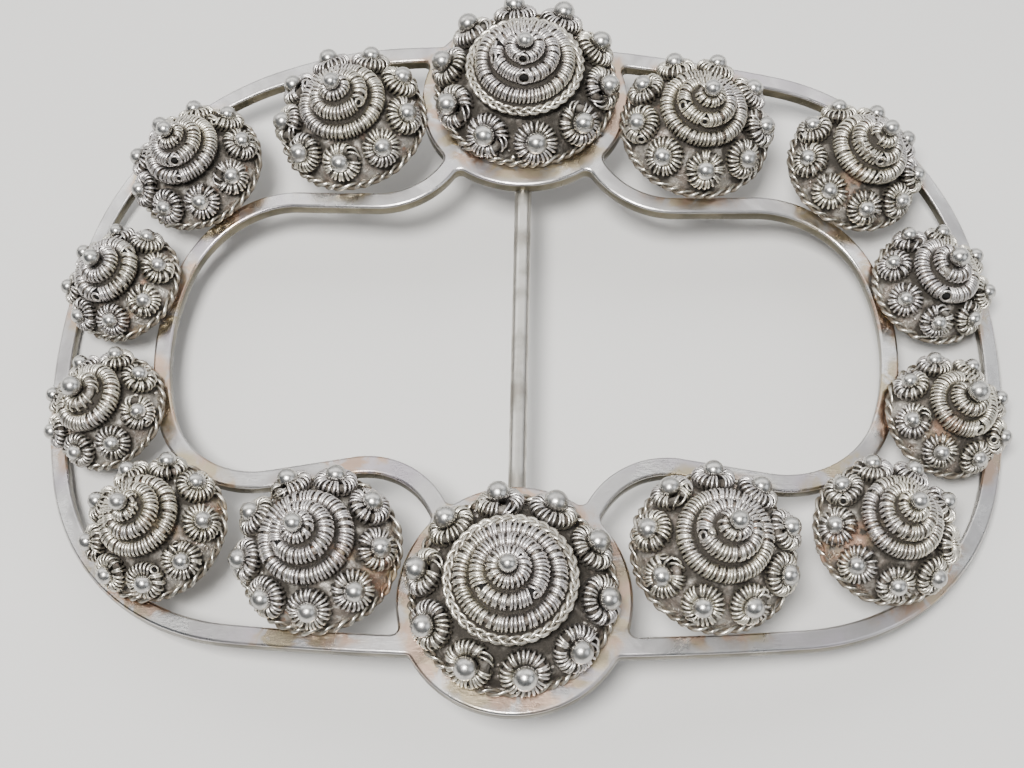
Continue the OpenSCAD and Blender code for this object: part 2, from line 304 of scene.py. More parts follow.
# black painted shade where a coil's hollow shows through an eye
OPENING_SHADE_BLACK = (0.004, 0.0035, 0.003, 1)
COPPER = (0.36, 0.21, 0.14, 1)
OCHRE = (0.38, 0.30, 0.19, 1)
BRIGHT_WIRE = (0.86, 0.82, 0.71, 1)
DULL_WIRE = (0.58, 0.55, 0.485, 1)
VIOLET_WIRE = (0.68, 0.65, 0.635, 1)
DARK_WIRE = (0.24, 0.215, 0.175, 1)
BRIGHT_BALL = (0.60, 0.59, 0.56, 1)
DULL_BALL = (0.43, 0.42, 0.405, 1)
DARK_BALL = (0.15, 0.145, 0.138, 1)
GREY_SHEET = (0.42, 0.395, 0.355, 1)
BROWN_SHEET = (0.29, 0.245, 0.21, 1)
PALE_SHEET = (0.58, 0.54, 0.49, 1)
BRIGHT_ROPE = (0.78, 0.745, 0.66, 1)
DULL_ROPE = (0.50, 0.47, 0.41, 1)
DARK_ROPE = (0.12, 0.10, 0.075, 1)
BRIGHT_STRIP = (0.66, 0.65, 0.64, 1)
DULL_STRIP = (0.42, 0.405, 0.405, 1)
VIOLET_STRIP = (0.50, 0.46, 0.50, 1)
PINK_SOLDER = (0.50, 0.36, 0.28, 1)
TAN_SOLDER = (0.47, 0.40, 0.28, 1)
DARK_SIDE = (0.060, 0.052, 0.030, 1)
OLIVE_SIDE = (0.15, 0.13, 0.085, 1)
BRIGHT_ROD = (0.56, 0.545, 0.51, 1)
DULL_ROD = (0.32, 0.30, 0.265, 1)
PALE_FLOOR = (0.66, 0.655, 0.64, 1)
GREY_FLOOR = (0.62, 0.615, 0.60, 1)

# The photograph's view, its focal length and width in pixels, and the camera's sensor in millimetres
CAMERA_AT = (5.205, -65.94, 139.83)
CAMERA_FORWARD = (-0.04019, 0.42230, -0.90556)
CAMERA_RIGHT = (0.99918, 0.02082, -0.03464)
FOCAL_PIXELS = 1650.5
PHOTO_WIDTH = 1024
SENSOR_WIDTH = 36.0

# Daylight, half the floor's side in metres, and the lights: name, place, width and depth, watts and colour
DAYLIGHT = (0.80, 0.85, 0.92, 1)
DAYLIGHT_STRENGTH = 0.18
FLOOR_HALF = 3.0
LIGHTS = [
    ("key", (-40, -90, 320), (80, 80), 2.1, (1.0, 0.98, 0.95)),
    ("softbox", (-10, 230, 300), (750, 260), 1.2, (1.0, 0.99, 0.97)),
    ("left_panel", (-430, 230, 250), (260, 260), 0.4, (1.0, 0.99, 0.97)),
    ("right_panel", (430, 230, 250), (260, 260), 0.22, (0.97, 0.98, 1.0)),
    ("fill", (300, -120, 200), (220, 220), 0.3, (0.93, 0.96, 1.0)),
    ("low_card", (0, 700, 210), (2400, 420), 2.5, (1.0, 1.0, 1.0)),
]


def bearing(a, b):
    """Bearing in radians from point a to point b."""
    return math.atan2(b[1] - a[1], b[0] - a[0])


def crossing(c0, r0, c1, r1, side):
    """Where two circles cross; side 1 is to the left of the way from the first centre to the second."""
    span = math.dist(c0, c1)
    along = ((c1[0] - c0[0]) / span, (c1[1] - c0[1]) / span)
    across = (-side * along[1], side * along[0])
    reach = (span * span + r0 * r0 - r1 * r1) / (2 * span)
    rise = math.sqrt(r0 * r0 - reach * reach)
    return (c0[0] + reach * along[0] + rise * across[0], c0[1] + reach * along[1] + rise * across[1])


# Middles of the plan's arcs, and the bearings at which one arc goes over into the next
LONG = (0.0, HALF_WIDTH - LONG_ARC_R)
SIDE = (HALF_LENGTH - SIDE_ARC_R, 0.0)
SHOULDER = crossing(LONG, LONG_ARC_R - SHOULDER_R, SIDE, SIDE_ARC_R - SHOULDER_R, -1)
END = (OPENING_HALF - END_ARC_R, 0.0)
CORNER = (CORNER_X, math.sqrt((END_ARC_R - CORNER_R) ** 2 - (CORNER_X - END[0]) ** 2))
SHOULDER_FROM_LONG = bearing(LONG, SHOULDER)
SHOULDER_FROM_SIDE = bearing(SIDE, SHOULDER)
CORNER_FROM_END = bearing(END, CORNER)
STRAIGHT_SIDE = bearing(WAIST, CORNER) - math.acos((WAIST_R + CORNER_R) / math.dist(WAIST, CORNER))


def arc(centre, r, start, end, facing, step=0.3):
    """Rows of x, y and the direction out of the metal along an arc; facing 1 is away from its centre."""
    count = max(3, int(abs(end - start) * r / step))
    angles = np.linspace(start, end, count)
    away = np.column_stack([np.cos(angles), np.sin(angles)])
    return np.hstack([np.array(centre) + r * away, facing * away])


def chain(*stretches):
    """Joins stretches that follow each other, without the doubled points."""
    return np.vstack([stretches[0]] + [s[1:] for s in stretches[1:]])


def shortest(start, end):
    """The end angle, turned by whole turns so that it is the shorter way from start."""
    return start + (end - start + math.pi) % math.tau - math.pi


def fillet(plate, edge_centre, edge_r, bend, solder_r, side):
    """Middle of the solder's arc between a plate and a strip's edge; bend is 1 outside that edge's arc."""
    return crossing(plate, PLATE_R + solder_r, edge_centre, edge_r + bend * solder_r, side)


def fillet_arc(middle, solder_r, from_centre, from_bend, to_centre, to_bend):
    """The solder's arc, from its touch on one circle to its touch on the next."""
    start = bearing(middle, from_centre) + (0 if from_bend > 0 else math.pi)
    end = bearing(middle, to_centre) + (0 if to_bend > 0 else math.pi)
    return arc(middle, solder_r, start, shortest(start, end), -1, step=0.12)


def quarter_paths(plate_y):
    """Outer, window and opening edges of the upper right quarter, from the right end to the middle."""
    plate = (0.0, plate_y)
    m_outer = fillet(plate, LONG, LONG_ARC_R, 1, OUTER_SOLDER_R, 1)
    outer = chain(
        arc(SIDE, SIDE_ARC_R, 0, SHOULDER_FROM_SIDE, 1),
        arc(SHOULDER, SHOULDER_R, SHOULDER_FROM_SIDE, SHOULDER_FROM_LONG, 1),
        arc(LONG, LONG_ARC_R, SHOULDER_FROM_LONG, bearing(LONG, m_outer), 1),
        fillet_arc(m_outer, OUTER_SOLDER_R, LONG, 1, plate, 1),
        arc(plate, PLATE_R, bearing(plate, m_outer), math.pi / 2, 1))

    long_r = LONG_ARC_R - STRIP_W
    waist_r = WAIST_R - STRIP_W
    m_long = fillet(plate, LONG, long_r, -1, WINDOW_LONG_SOLDER_R, 1)
    m_waist = fillet(plate, WAIST, waist_r, -1, WINDOW_WAIST_SOLDER_R, -1)
    plate_start = bearing(plate, m_long)
    waist_start = bearing(WAIST, m_waist)
    window = chain(
        arc(SIDE, SIDE_ARC_R - STRIP_W, 0, SHOULDER_FROM_SIDE, -1),
        arc(SHOULDER, SHOULDER_R - STRIP_W, SHOULDER_FROM_SIDE, SHOULDER_FROM_LONG, -1),
        arc(LONG, long_r, SHOULDER_FROM_LONG, bearing(LONG, m_long), -1),
        fillet_arc(m_long, WINDOW_LONG_SOLDER_R, LONG, -1, plate, 1),
        arc(plate, PLATE_R, plate_start, shortest(plate_start, bearing(plate, m_waist)), 1),
        fillet_arc(m_waist, WINDOW_WAIST_SOLDER_R, plate, 1, WAIST, -1),
        arc(WAIST, waist_r, waist_start, shortest(waist_start, STRAIGHT_SIDE), -1),
        arc(CORNER, CORNER_R + STRIP_W, STRAIGHT_SIDE + math.pi, CORNER_FROM_END, 1),
        arc(END, END_ARC_R + STRIP_W, CORNER_FROM_END, 0, 1))

    m_valley = fillet(plate, WAIST, WAIST_R, 1, VALLEY_SOLDER_R, -1)
    valley_from_waist = bearing(WAIST, m_valley)
    plate_end = bearing(plate, m_valley)
    opening = chain(
        arc(END, END_ARC_R, 0, CORNER_FROM_END, -1),
        arc(CORNER, CORNER_R, CORNER_FROM_END, STRAIGHT_SIDE + math.pi, -1),
        arc(WAIST, WAIST_R, STRAIGHT_SIDE, shortest(STRAIGHT_SIDE, valley_from_waist), 1),
        fillet_arc(m_valley, VALLEY_SOLDER_R, WAIST, 1, plate, 1),
        arc(plate, PLATE_R, plate_end, shortest(plate_end, -math.pi / 2), 1))
    return outer, window, opening


def flipped(rows, x=1, y=1):
    """The path mirrored in X or Y, run backwards so that it can join on."""
    return (rows * np.array([x, y, x, y]))[::-1]


def ring_of(*halves):
    """A closed path from stretches that meet end to end."""
    rows = chain(*halves)
    return rows[:-1] if np.allclose(rows[0, :2], rows[-1, :2], atol=1e-6) else rows


def frame_loops():
    """The four edges of the frame's plan: outside, right window, left window and opening."""
    top_outer, top_window, top_opening = quarter_paths(TOP_PLATE_Y)
    low_outer, low_window, low_opening = quarter_paths(BOTTOM_PLATE_Y)
    outer = ring_of(top_outer, flipped(top_outer, x=-1), -low_outer, flipped(low_outer, y=-1))
    opening = ring_of(top_opening, flipped(top_opening, x=-1), -low_opening, flipped(low_opening, y=-1))
    right = ring_of(top_window, flipped(low_window, y=-1))
    left = right * np.array([-1, 1, -1, 1])
    return outer, right, left, opening


def bent(plan):
    """Points of a plan, moved with the strips where these are out of line."""
    moved = plan.copy()
    for place, push, reach in BENDS:
        share = np.exp(-(((plan - place) / reach) ** 2).sum(axis=1))
        moved += share[:, None] * np.array(push)
    return moved


def on_arch(plan, depth):
    """Points of a plan, lifted onto the arch at a depth under the top face."""
    plan = bent(plan)
    rise = np.sqrt((ARCH_R - depth) ** 2 - plan[:, 0] ** 2) - ARCH_R
    return np.column_stack([plan[:, 0], plan[:, 1], rise]) + CREST


def inside(points, edges):
    """True for each point that lies within an odd number of the closed edges."""
    hits = np.zeros(len(points), bool)
    x, y = points.T
    for edge in edges:
        for (ax, ay), (bx, by) in zip(edge, np.roll(edge, -1, axis=0)):
            if ay != by:
                hits ^= ((ay > y) != (by > y)) & (x < (bx - ax) * (y - ay) / (by - ay) + ax)
    return hits


class Pile:
    """Collects pieces of mesh, each with a material slot and a recess value per vertex, into one object."""

    def __init__(self):
        self.verts, self.faces, self.slots, self.recess = [], [], [], []
        self.count = 0

    def add(self, part, slot, turn=np.eye(3), move=(0, 0, 0)):
        """Adds a piece of vertices, faces and recess, turned and then moved."""
        verts, faces, recess = part
        self.verts.append(verts @ turn.T + move)
        self.recess.append(recess)
        for face_rows in faces:
            self.faces.append(face_rows + self.count)
            self.slots.append(np.full(len(face_rows), slot, np.int32))
        self.count += len(verts)

    def build(self, name, materials, turn=np.eye(3), move=(0, 0, 0), stains=()):
        """Makes the object, turned and then moved. Stains (x, y, reach) are laid over what is above Z = 0."""
        local = np.vstack(self.verts)
        stain = np.zeros(len(local))
        for x, y, reach in stains:
            away = np.hypot(local[:, 0] - x, local[:, 1] - y)
            stain = np.maximum(stain, 0.5 + (reach - away) / STAIN_EDGE)
        stain[local[:, 2] < 0] = 0
        verts = (local @ turn.T + move) * MM
        sizes = np.concatenate([np.full(len(f), f.shape[1], np.int32) for f in self.faces])
        corners = np.concatenate([f.ravel() for f in self.faces]).astype(np.int32)
        mesh = bpy.data.meshes.new(name)
        mesh.vertices.add(len(verts))
        mesh.vertices.foreach_set("co", verts.astype(np.float32).ravel())
        mesh.loops.add(len(corners))
        mesh.loops.foreach_set("vertex_index", corners)
        mesh.polygons.add(len(sizes))
        mesh.polygons.foreach_set("loop_start", (np.cumsum(sizes) - sizes).astype(np.int32))
        mesh.polygons.foreach_set("material_index", np.concatenate(self.slots))
        mesh.update(calc_edges=True)
        mesh.shade_smooth()
        for key, values in (("recess", np.concatenate(self.recess)), ("stain", np.clip(stain, 0, 1))):
            layer = mesh.attributes.new(key, "FLOAT", "POINT")
            layer.data.foreach_set("value", values.astype(np.float32))
        for material in materials:
            mesh.materials.append(material)
        thing = bpy.data.objects.new(name, mesh)
        bpy.context.scene.collection.objects.link(thing)
        return thing


def grid_faces(rows, columns, close_rows=False):
    """Quads of a grid of vertices, row by row, with its columns running round."""
    r = np.arange(rows if close_rows else rows - 1)
    r, c = (v.ravel() for v in np.meshgrid(r, np.arange(columns), indexing="ij"))
    r1, c1 = (r + 1) % rows, (c + 1) % columns
    return np.column_stack([r * columns + c, r * columns + c1, r1 * columns + c1, r1 * columns + c])


def unit(rows):
    """Each row scaled to length 1."""
    return rows / np.linalg.norm(rows, axis=1)[:, None]


def swept(centre, outward, wire, sides, closed=False, low=0.0, share=0.0):
    """A round wire along points, each with its direction outwards. Its recess, which darkens it with tarnish
    and painted shade, is a share of low, one value or one for each point, and for the rest how far a side of
    the wire faces inwards, the inward side getting the painted shade of the coil's hollow."""
    if closed:
        tangent = unit(np.roll(centre, -1, axis=0) - np.roll(centre, 1, axis=0))
    else:
        tangent = unit(np.gradient(centre, axis=0))
    side = unit(np.cross(tangent, outward))
    away = np.cross(side, tangent)
    psi = np.arange(sides) * math.tau / sides
    ring = np.cos(psi)[None, :, None] * away[:, None] + np.sin(psi)[None, :, None] * side[:, None]
    verts = (centre[:, None] + wire * ring).reshape(-1, 3)
    faces = [grid_faces(len(centre), sides, closed)]
    if not closed:
        ends = np.arange(sides)[None, :]
        faces += [ends[:, ::-1], ends + (len(centre) - 1) * sides]
    inner = 0.5 - 0.5 * np.cos(psi)
    low = np.broadcast_to(low, (len(centre),))
    return verts, faces, (share * low[:, None] + (1 - share) * inner[None, :]).ravel()


def round_frame(phi):
    """Outward and upward directions at angles round the axis."""
    out = np.column_stack([np.cos(phi), np.sin(phi), np.zeros(len(phi))])
    return out, np.array([0.0, 0.0, 1.0])


def wound(radius, tube, wire, turns, z, start, span, painted_shade_reach, rng, eyes=(), tip=0.0, steps=12, sides=5):
    """Wire wound round a ring, a little unevenly. radius is that of the ring's middle, tube the coil's outer
    one, the argument after span how far up each turn the painted shade on its lower side reaches, and tip how
    far the last turns lean out of the ring. eyes lists the angle and width of places where turns part."""
    closed = span > math.tau - 1e-6
    t = np.arange(turns * steps + (0 if closed else 1)) / steps
    turn_index = np.minimum(t.astype(int), turns - 1)
    within = np.sin(math.pi * (t % 1)) ** 2
    theta = math.tau * (t - 0.25)
    phi = start + span / turns * (t + TURN_SLIP * rng.standard_normal(turns)[turn_index] * within)
    for angle, width in eyes:
        off = shortest(0, start + span / turns * (turn_index + 0.5) - angle)
        round_way = shortest(0, theta - EYE_RISE) / EYE_REACH
        push = EYE_PUSH * width * np.exp(-EYE_FADE * np.abs(off) / width)
        phi = phi + np.sign(off) * push * np.sqrt(np.maximum(0, 1 - round_way ** 2))
    reach = (tube - wire) * (1 + TURN_REACH * rng.standard_normal(turns)[turn_index] * within)
    out, up = round_frame(phi)
    onward = np.cross(up, out)
    tipped = tip * np.clip(t - turns + SPRUNG_TURNS, 0, 1)
    rise = np.cos(tipped)[:, None] * up + np.sin(tipped)[:, None] * onward
    away = np.cos(theta)[:, None] * out + np.sin(theta)[:, None] * rise
    shift = SPRUNG_SHIFT * np.sin(tipped)[:, None] * onward
    centre = radius * out + reach[:, None] * (away + shift) + z * up
    # painted shade: each turn darker on its lower side, towards the dome
    low = np.clip(painted_shade_reach - PAINTED_SHADE_FADE * np.sin(theta), 0, 1)
    return swept(centre, away, wire, sides, closed, low, share=0.75)


def ring_arc(radius, tube, z, start, span, recess, step=0.4):
    """A plain ring or a stretch of one: the dark ring inside a wound ring, painted shade for the coil's
    hollow, or solder that ran over it.
    """
    phi = start + np.linspace(0, span, max(6, int(radius * span / step)))
    out, up = round_frame(phi)
    verts, faces, _ = swept(radius * out + z * up, out, tube, sides=8)
    return verts, faces, np.full(len(verts), recess)


def eye(radius, tube, wire, z, angle, width, steps=20):
    """An opening in a wound ring: a turn that faces outwards, and a black ring behind it, painted shade for
    the coil's hollow.
    """
    out, up = round_frame(np.array([angle]))
    face = math.cos(EYE_RISE) * out[0] + math.sin(EYE_RISE) * up
    side = np.cross(up, out[0])
    middle = radius * out[0] + z * up + EYE_OUT * tube * face
    size = min(EYE_TALL * tube, EYE_WIDE * width * (radius + EYE_OUT * tube)) - wire
    t = np.arange(steps) * math.tau / steps
    spoke = np.cos(t)[:, None] * side + np.sin(t)[:, None] * np.cross(face, side)
    yield swept(middle + size * spoke, spoke, wire, sides=6, closed=True, share=0.4), WIRE
    start = angle - EYE_HALF * width
    # black painted shade where the coil's hollow shows
    yield ring_arc(radius, tube - EYE_DEPTH * wire, z, start, 2 * EYE_HALF * width, EYE_INSIDE), DOME


def twisted(radius, rng, steps=10, sides=6):
    """The rope round a button's foot: two strands twisted openly together."""
    twists = round(math.pi * radius / ROPE_LOBE)
    phi = np.linspace(0, math.tau, twists * steps, endpoint=False)
    waves = [(number, rng.uniform(0, math.tau)) for number in ROPE_WAVES]
    slack = sum(np.sin(number * phi + shift) for number, shift in waves)
    out, up = round_frame(phi)
    core = (radius - ROPE_INSET + ROPE_WANDER * slack)[:, None] * out + (ROPE_R + SEAT_GAP) * up
    strand = ROPE_STRAND * ROPE_R
    for half in (0.0, math.pi):
        theta = twists * phi + half + TWIST_WANDER * slack
        away = np.cos(theta)[:, None] * out + np.sin(theta)[:, None] * up
        # painted shade: each strand darker on its lower side
        low = 0.5 - 0.5 * np.sin(theta)
        centre = core + (ROPE_R - strand) * away
        yield swept(centre, away, strand, sides, closed=True, low=low, share=0.6), ROPE


def plaited(radius, reach, z, steps=12, sides=6):
    """Three strands plaited flat into a ring that leans outwards; reach is half the plait's width."""
    waves = round(math.tau * radius / (3 * PLAIT_LOBE))
    phi = np.linspace(0, math.tau, waves * steps, endpoint=False)
    out, up = round_frame(phi)
    across, normal = unit(out - PLAIT_LEAN * up), unit(PLAIT_LEAN * out + up)
    strand = PLAIT_STRAND * reach
    for third in range(3):
        wave = waves * phi + third * math.tau / 3
        centre = radius * out + z * up + ((reach - strand) * np.sin(wave))[:, None] * across
        centre = centre + (PLAIT_RISE * strand * np.sin(2 * wave))[:, None] * normal
        # painted shade: darker where a strand dips under the others
        low = 0.5 - 0.5 * np.sin(2 * wave)
        yield swept(centre, normal, strand, sides, closed=True, low=low, share=0.4), ROPE


def lathe(profile, columns):
    """A surface of revolution from rows of radius and height, all of it recess."""
    r, z = np.array(profile).T[:, :, None]
    angle = np.arange(columns) * math.tau / columns
    verts = np.stack([r * np.cos(angle), r * np.sin(angle), z + 0 * angle], axis=-1).reshape(-1, 3)
    return verts, [grid_faces(len(profile), columns)], np.ones(len(verts))


def ball(radius, squash, columns=18, rows=12):
    """A ball about the origin, with its poles on Z; its underside counts as recess, so it is darkened as
    painted shade.
    """
    latitude = np.linspace(-math.pi / 2, math.pi / 2, rows + 1)[1:-1]
    profile = np.column_stack([radius * np.cos(latitude), radius * squash * np.sin(latitude)])
    verts, faces, _ = lathe(profile, columns)
    verts = np.vstack([verts, [[0, 0, -radius * squash], [0, 0, radius * squash]]])
    last = (rows - 2) * columns
    south, north = len(verts) - 2, len(verts) - 1
    c = np.arange(columns)
    c1 = (c + 1) % columns
    faces.append(np.column_stack([c1, c, np.full(columns, south)]))
    faces.append(np.column_stack([last + c, last + c1, np.full(columns, north)]))
    return verts, faces, np.clip(BALL_WAIST - BALL_FADE * verts[:, 2] / (radius * squash), 0, 1)


def turn_z(angle):
    """Matrix of a turn about the Z axis."""
    c, s = math.cos(angle), math.sin(angle)
    return np.array([[c, -s, 0], [s, c, 0], [0, 0, 1]])


def turn_y(angle):
    """Matrix of a turn about the Y axis, from Z towards X."""
    c, s = math.cos(angle), math.sin(angle)
    return np.array([[c, 0, s], [0, 1, 0], [-s, 0, c]])


class Nodes:
    """A material's node tree, with short calls for its nodes. Noise of scale 1000 has spots of about 1 mm."""

    def __init__(self, name):
        self.material = bpy.data.materials.new(name)
        self.material.use_nodes = True
        self.tree = self.material.node_tree
        self.shader = self.tree.nodes["Principled BSDF"]
        self.where = self.node("TexCoord", "Object", {})

    def feed(self, node, inputs):
        """Links or sets each of a node's inputs."""
        for name, value in inputs.items():
            if isinstance(value, bpy.types.NodeSocket):
                self.tree.links.new(value, node.inputs[name])
            else:
                node.inputs[name].default_value = value

    def node(self, kind, output, inputs, **settings):
        """A new node, given as the output that is used."""
        node = self.tree.nodes.new("ShaderNode" + kind)
        for name, value in settings.items():
            setattr(node, name, value)
        self.feed(node, inputs)
        return node.outputs[output]

    def noise(self, scale, detail, distortion=0.0, stretch=None):
        where = self.where
        if stretch:
            where = self.node("Mapping", "Vector", {"Vector": where, "Scale": stretch})
        inputs = {"Vector": where, "Scale": scale, "Detail": detail, "Distortion": distortion}
        return self.node("TexNoise", "Fac", {**inputs, "Roughness": 0.55})

    def steps(self, value, low, high, to_low=0.0, to_high=1.0):
        """A smooth step from to_low to to_high while the value goes from low to high."""
        inputs = {"Value": value, "From Min": low, "From Max": high, "To Min": to_low, "To Max": to_high}
        return self.node("MapRange", "Result", inputs, interpolation_type="SMOOTHSTEP")

    def math(self, kind, a, b=0.0):
        return self.node("Math", "Value", {0: a, 1: b}, operation=kind)

    def mix(self, factor, a, b):
        return self.node("Mix", "Result", {"Factor": factor, "A": a, "B": b}, data_type="RGBA")

    def patches(self, scale, detail, low, high, a, b, distortion=0.0):
        """Colour a, with patches of colour b where noise rises from low to high."""
        return self.mix(self.steps(self.noise(scale, detail, distortion), low, high), a, b)

    def attribute(self, name):
        return self.node("Attribute", "Fac", {}, attribute_name=name)

    def wear_and_shade(self, scale, detail, share):
        """The recess of the surface, which marks tarnish and painted shade, with a share of noise on top."""
        noise = self.math("MULTIPLY", self.noise(scale, detail), share)
        return self.math("ADD", self.attribute("recess"), noise)

    def normal_z(self):
        return self.node("SeparateXYZ", "Z", {"Vector": self.node("NewGeometry", "Normal", {})})

    def bump(self, height, strength, distance):
        inputs = {"Strength": strength, "Distance": distance, "Height": height}
        self.feed(self.shader, {"Normal": self.node("Bump", "Normal", inputs)})

    def finish(self, colour, roughness, metallic):
        self.feed(self.shader, {"Base Color": colour, "Roughness": roughness, "Metallic": metallic})
        return self.material


def stained(n, colour, amount):
    """A colour with the piece's copper and ochre spots laid over it."""
    spot = n.math("MULTIPLY", n.attribute("stain"), n.steps(n.noise(900, 5), 0.32, 0.62))
    metal = n.patches(500, 3, 0.4, 0.6, COPPER, OCHRE)
    return n.mix(n.math("MULTIPLY", n.steps(spot, 0.15, 0.9), amount), colour, metal)


def wire_silver():
    """Coiled wire: bright where it stands proud, dark with tarnish and painted shade on each turn's lower and
    inner side, where it dips towards the dome.
    """
    n = Nodes("wire_silver")
    depth = n.steps(n.wear_and_shade(1000, 4, 0.5), 0.34, 1.05)
    tone = n.patches(420, 4, 0.36, 0.64, BRIGHT_WIRE, DULL_WIRE)
    tone = n.patches(95, 2, 0.45, 0.6, tone, VIOLET_WIRE)
    # painted shade: dark wire, then black, down each turn and into the coil
    colour = n.mix(n.steps(depth, 0.7, 1), n.mix(depth, tone, DARK_WIRE), SOOT_AND_SHADE)
    n.bump(n.noise(5200, 2), 0.3, 0.00002)
    roughness = n.steps(depth, 0, 1, 0.34, 0.6)
    return n.finish(stained(n, colour, 0.5), roughness, n.steps(depth, 0.5, 1, 1.0, 0.6))


def ball_silver():
    """Solid balls: satin, bright on top, with painted shade darker towards the waist and black below, where
    they sit in wire.
    """
    n = Nodes("ball_silver")
    dull = n.steps(n.noise(1200, 5, distortion=0.5), 0.38, 0.7)
    wear_and_shade = n.wear_and_shade(1100, 2, 0.3)
    depth = n.steps(wear_and_shade, 0.6, 1.25)
    # painted shade: the ball's lower half darker, black at the bottom
    tone = n.mix(n.steps(wear_and_shade, 0.16, 0.62), n.mix(dull, BRIGHT_BALL, DULL_BALL), DARK_BALL)
    n.bump(n.noise(2600, 5), 0.4, 0.00004)
    roughness = n.steps(dull, 0, 1, 0.27, 0.35)
    return n.finish(n.mix(depth, tone, SOOT_AND_SHADE), roughness, n.steps(depth, 0.4, 1, 1.0, 0.6))


def dome_silver():
    """The dome's sheet: dull, with brown, pale and copper patches, dirt and painted shade in corners, and
    black painted shade in the coils.
    """
    n = Nodes("dome_silver")
    # darker with dirt and painted shade where the recess is high
    dirt_and_shade = n.steps(n.wear_and_shade(1000, 6, 0.9), 0.80, 1.3)
    tone = n.patches(620, 4, 0.42, 0.6, GREY_SHEET, BROWN_SHEET)
    tone = n.patches(1300, 6, 0.56, 0.62, tone, PALE_SHEET, distortion=0.8)
    tone = n.patches(430, 5, 0.62, 0.72, tone, COPPER, distortion=0.6)
    # painted shade: black where an eye's opening shows, and dirt with painted shade elsewhere
    dirty_and_shaded = n.mix(n.steps(n.attribute("recess"), 1.2, 1.6), n.mix(dirt_and_shade, tone, SOOT_AND_SHADE), OPENING_SHADE_BLACK)
    n.bump(n.noise(2300, 6), 1.0, 0.0002)
    roughness = n.steps(dirt_and_shade, 0, 1, 0.40, 0.8)
    return n.finish(stained(n, dirty_and_shaded, 0.65), roughness, n.steps(dirt_and_shade, 0, 1, 0.85, 0.2))


def rope_silver():
    """Twisted and plaited rings: bright on top of each lobe, darker below it and between the strands, with
    brown dirt and painted shade.
    """
    n = Nodes("rope_silver")
    depth = n.steps(n.wear_and_shade(1000, 4, 0.6), 0.4, 0.95)
    tone = n.patches(420, 3, 0.38, 0.62, BRIGHT_ROPE, DULL_ROPE)
    n.bump(n.noise(3600, 3), 0.4, 0.00004)
    colour = stained(n, n.mix(depth, tone, DARK_ROPE), 0.7)
    return n.finish(colour, n.steps(depth, 0, 1, 0.3, 0.65), n.steps(depth, 0.2, 1, 1.0, 0.4))


def frame_silver():
    """Strips: satin grey with fine scratches, dark olive brown down the sides as painted shade with tarnish,
    tan and pinkish by the solder.
    """
    n = Nodes("strip_silver")
    dull = n.steps(n.noise(170, 6, distortion=0.5), 0.36, 0.66)
    top = n.patches(120, 4, 0.5, 0.7, n.mix(dull, BRIGHT_STRIP, DULL_STRIP), VIOLET_STRIP)
    above = n.math("MULTIPLY", n.attribute("stain"), n.steps(n.normal_z(), -0.5, 0.0))
    solder = n.math("MULTIPLY", above, n.steps(n.noise(420, 6, distortion=0.7), 0.32, 0.66))
    residue = n.patches(260, 3, 0.42, 0.6, PINK_SOLDER, TAN_SOLDER)
    top = n.mix(n.steps(solder, 0.0, 0.55), top, residue)
    # painted shade: walls dark olive and tops lighter, by how upright the face is, with tarnish
    level = n.math("ABSOLUTE", n.normal_z())
    flat = n.steps(n.math("ADD", level, n.math("MULTIPLY", n.noise(420, 3), 0.25)), 0.22, 0.62)
    side = n.patches(260, 4, 0.4, 0.7, DARK_SIDE, OLIVE_SIDE)
    scratches = n.math("MULTIPLY", n.noise(900, 2, stretch=(1.0, 9.0, 1.0)), 0.5)
    n.bump(n.math("ADD", scratches, n.noise(3000, 4)), 0.3, 0.00005)
    return n.finish(n.mix(flat, side, top), n.steps(dull, 0, 1, 0.25, 0.38), n.steps(flat, 0, 1, 0.75, 1.0))


def bar_silver():
    """The drawn rod: grey, with drag lines along it and thin brownish clouds."""
    n = Nodes("rod_silver")
    dull = n.steps(n.noise(230, 5), 0.4, 0.66)
    lines = n.noise(1500, 3, stretch=(1.0, 0.04, 1.0))
    n.bump(n.math("ADD", lines, n.math("MULTIPLY", n.noise(2500, 2), 0.6)), 0.3, 0.00004)
    return n.finish(n.mix(dull, BRIGHT_ROD, DULL_ROD), n.steps(dull, 0, 1, 0.28, 0.45), 1.0)


def floor_paper():
    """Plain pale studio floor with the faintest tooth."""
    n = Nodes("floor_paper")
    n.bump(n.noise(900, 3), 0.08, 0.0001)
    return n.finish(n.patches(3, 3, 0.3, 0.7, PALE_FLOOR, GREY_FLOOR), 0.75, 0.0)


def button_base(kind):
    """The dome as in the part: the rosettes' seat, the plate's edge, the shoulder's radius and middle."""
    lean = np.array([math.sin(ROSETTE_TILT), math.cos(ROSETTE_TILT)])
    seat = np.array([kind["ball_ring_r"], kind["ball_z"]]) - (kind["ball_rise"] + kind["coil"][1]) * lean
    plate_edge = kind["edge_r"] - ROPE_R
    shoulder = (plate_edge - seat[0]) / (1 - lean[0])
    return seat, plate_edge, shoulder, seat - shoulder * lean


